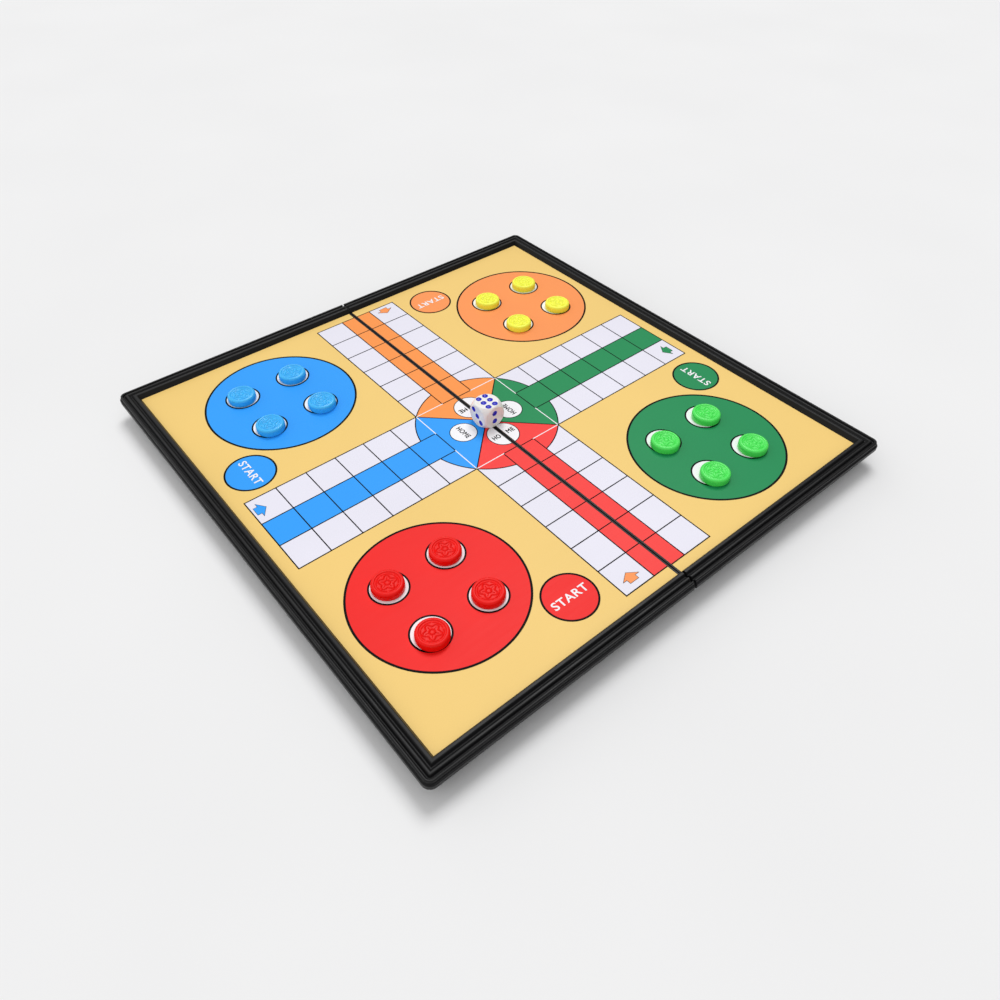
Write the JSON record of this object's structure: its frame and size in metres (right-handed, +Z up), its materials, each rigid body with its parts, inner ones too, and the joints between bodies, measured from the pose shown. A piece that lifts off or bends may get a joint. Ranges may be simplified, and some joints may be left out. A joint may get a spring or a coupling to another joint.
{
  "type": "folding ludo board box",
  "caption": "Hinged two-tray travel ludo set: opens flat into a printed magnetic play board with flat pawns and a die, and folds shut into a storage box.",
  "frame": {"origin": "centre of the open board, on the surface it rests on", "axes": "+Z up out of the play surface; Y along the fold line; X across the fold, the half with the knuckle in the middle of each hinge on +X"},
  "size_m": [0.2474, 0.2488, 0.0214],
  "materials": {
    "tray_plastic": "semi-gloss black moulded plastic",
    "sheet_steel": "thin galvanised sheet",
    "print_surface": "printed laminated sheet, satin",
    "pin_steel": "drawn wire",
    "closure_magnet": "nickel plated",
    "die_plastic": "polished off-white plastic with painted blue dimples",
    "pawn_blue": "moulded translucent-looking plastic, soft gloss",
    "pawn_red": "moulded plastic, soft gloss",
    "pawn_green": "moulded plastic, soft gloss",
    "pawn_yellow": "moulded plastic, soft gloss",
    "pawn_magnet": "dark sintered disc"
  },
  "bodies": {
    "left_half": {"left_tray": "tray_plastic", "left_steel_sheet": "sheet_steel", "left_print_sheet": "print_surface", "hinge_pin_near": "pin_steel", "hinge_pin_far": "pin_steel", "left_closure_magnet_near": "closure_magnet", "left_closure_magnet_far": "closure_magnet"},
    "right_half": {"right_tray": "tray_plastic", "right_steel_sheet": "sheet_steel", "right_print_sheet": "print_surface", "right_closure_magnet_near": "closure_magnet", "right_closure_magnet_far": "closure_magnet"},
    "die_body": {"die": "die_plastic"},
    "blue_pawn_1": {"blue_pawn_1_cap": "pawn_blue", "blue_pawn_1_magnet": "pawn_magnet"},
    "blue_pawn_2": {"blue_pawn_2_cap": "pawn_blue", "blue_pawn_2_magnet": "pawn_magnet"},
    "blue_pawn_3": {"blue_pawn_3_cap": "pawn_blue", "blue_pawn_3_magnet": "pawn_magnet"},
    "blue_pawn_4": {"blue_pawn_4_cap": "pawn_blue", "blue_pawn_4_magnet": "pawn_magnet"},
    "red_pawn_1": {"red_pawn_1_cap": "pawn_red", "red_pawn_1_magnet": "pawn_magnet"},
    "red_pawn_2": {"red_pawn_2_cap": "pawn_red", "red_pawn_2_magnet": "pawn_magnet"},
    "red_pawn_3": {"red_pawn_3_cap": "pawn_red", "red_pawn_3_magnet": "pawn_magnet"},
    "red_pawn_4": {"red_pawn_4_cap": "pawn_red", "red_pawn_4_magnet": "pawn_magnet"},
    "green_pawn_1": {"green_pawn_1_cap": "pawn_green", "green_pawn_1_magnet": "pawn_magnet"},
    "green_pawn_2": {"green_pawn_2_cap": "pawn_green", "green_pawn_2_magnet": "pawn_magnet"},
    "green_pawn_3": {"green_pawn_3_cap": "pawn_green", "green_pawn_3_magnet": "pawn_magnet"},
    "green_pawn_4": {"green_pawn_4_cap": "pawn_green", "green_pawn_4_magnet": "pawn_magnet"},
    "yellow_pawn_1": {"yellow_pawn_1_cap": "pawn_yellow", "yellow_pawn_1_magnet": "pawn_magnet"},
    "yellow_pawn_2": {"yellow_pawn_2_cap": "pawn_yellow", "yellow_pawn_2_magnet": "pawn_magnet"},
    "yellow_pawn_3": {"yellow_pawn_3_cap": "pawn_yellow", "yellow_pawn_3_magnet": "pawn_magnet"},
    "yellow_pawn_4": {"yellow_pawn_4_cap": "pawn_yellow", "yellow_pawn_4_magnet": "pawn_magnet"}
  },
  "joints": [
    {"name": "fold_hinge", "type": "hinge", "parent": "left_half", "child": "right_half", "pos_m": [0, 0, 0.002], "axis": [0, 1, 0], "range_deg": [0, 180]},
    {"name": "die_lift", "type": "slide", "parent": "left_half", "child": "die_body", "axis": [0, 0, 1], "range_m": [0, 0.03]},
    {"name": "blue_pawn_1_lift", "type": "slide", "parent": "left_half", "child": "blue_pawn_1", "axis": [0, 0, 1], "range_m": [0, 0.03]},
    {"name": "blue_pawn_2_lift", "type": "slide", "parent": "left_half", "child": "blue_pawn_2", "axis": [0, 0, 1], "range_m": [0, 0.03]},
    {"name": "blue_pawn_3_lift", "type": "slide", "parent": "left_half", "child": "blue_pawn_3", "axis": [0, 0, 1], "range_m": [0, 0.03]},
    {"name": "blue_pawn_4_lift", "type": "slide", "parent": "left_half", "child": "blue_pawn_4", "axis": [0, 0, 1], "range_m": [0, 0.03]},
    {"name": "red_pawn_1_lift", "type": "slide", "parent": "left_half", "child": "red_pawn_1", "axis": [0, 0, 1], "range_m": [0, 0.03]},
    {"name": "red_pawn_2_lift", "type": "slide", "parent": "left_half", "child": "red_pawn_2", "axis": [0, 0, 1], "range_m": [0, 0.03]},
    {"name": "red_pawn_3_lift", "type": "slide", "parent": "left_half", "child": "red_pawn_3", "axis": [0, 0, 1], "range_m": [0, 0.03]},
    {"name": "red_pawn_4_lift", "type": "slide", "parent": "left_half", "child": "red_pawn_4", "axis": [0, 0, 1], "range_m": [0, 0.03]},
    {"name": "green_pawn_1_lift", "type": "slide", "parent": "right_half", "child": "green_pawn_1", "axis": [0, 0, 1], "range_m": [0, 0.03]},
    {"name": "green_pawn_2_lift", "type": "slide", "parent": "right_half", "child": "green_pawn_2", "axis": [0, 0, 1], "range_m": [0, 0.03]},
    {"name": "green_pawn_3_lift", "type": "slide", "parent": "right_half", "child": "green_pawn_3", "axis": [0, 0, 1], "range_m": [0, 0.03]},
    {"name": "green_pawn_4_lift", "type": "slide", "parent": "right_half", "child": "green_pawn_4", "axis": [0, 0, 1], "range_m": [0, 0.03]},
    {"name": "yellow_pawn_1_lift", "type": "slide", "parent": "right_half", "child": "yellow_pawn_1", "axis": [0, 0, 1], "range_m": [0, 0.03]},
    {"name": "yellow_pawn_2_lift", "type": "slide", "parent": "right_half", "child": "yellow_pawn_2", "axis": [0, 0, 1], "range_m": [0, 0.03]},
    {"name": "yellow_pawn_3_lift", "type": "slide", "parent": "right_half", "child": "yellow_pawn_3", "axis": [0, 0, 1], "range_m": [0, 0.03]},
    {"name": "yellow_pawn_4_lift", "type": "slide", "parent": "right_half", "child": "yellow_pawn_4", "axis": [0, 0, 1], "range_m": [0, 0.03]}
  ]
}
